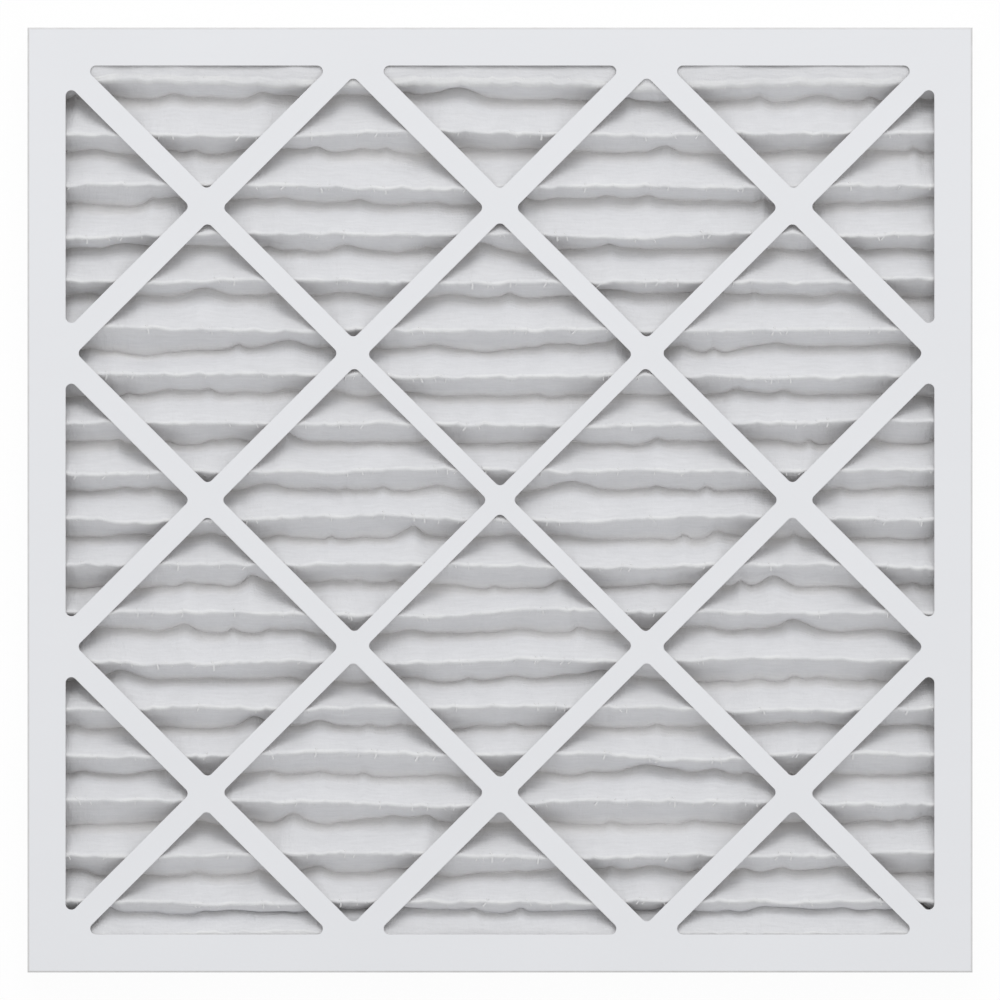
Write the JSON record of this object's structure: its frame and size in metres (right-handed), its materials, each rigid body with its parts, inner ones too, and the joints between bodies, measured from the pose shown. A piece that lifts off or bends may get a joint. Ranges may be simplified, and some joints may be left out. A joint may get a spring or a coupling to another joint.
{
  "type": "pleated panel air filter",
  "caption": "Square pleated panel air filter: folded white media on a steel grid between two nested paperboard halves with a diagonal lattice.",
  "frame": {"origin": "middle of the back face, which the panel lies on", "axes": "+X along the pleats, +Y across the pleats towards the first pleat, +Z from the back face out of the front face"},
  "size_m": [0.4952, 0.4952, 0.0191],
  "materials": {
    "paperboard": "white-lined paperboard, matt with a faint sheen",
    "media": "white synthetic non-woven",
    "grid_steel": "galvanised expanded steel mesh",
    "adhesive": "set white adhesive"
  },
  "bodies": {
    "root": {"front_frame": "paperboard", "back_frame": "paperboard", "pleated_media": "media", "support_grid": "grid_steel", "side_seal_left": "adhesive", "side_seal_right": "adhesive", "end_seal_first": "adhesive", "end_seal_last": "adhesive"}
  },
  "joints": []
}
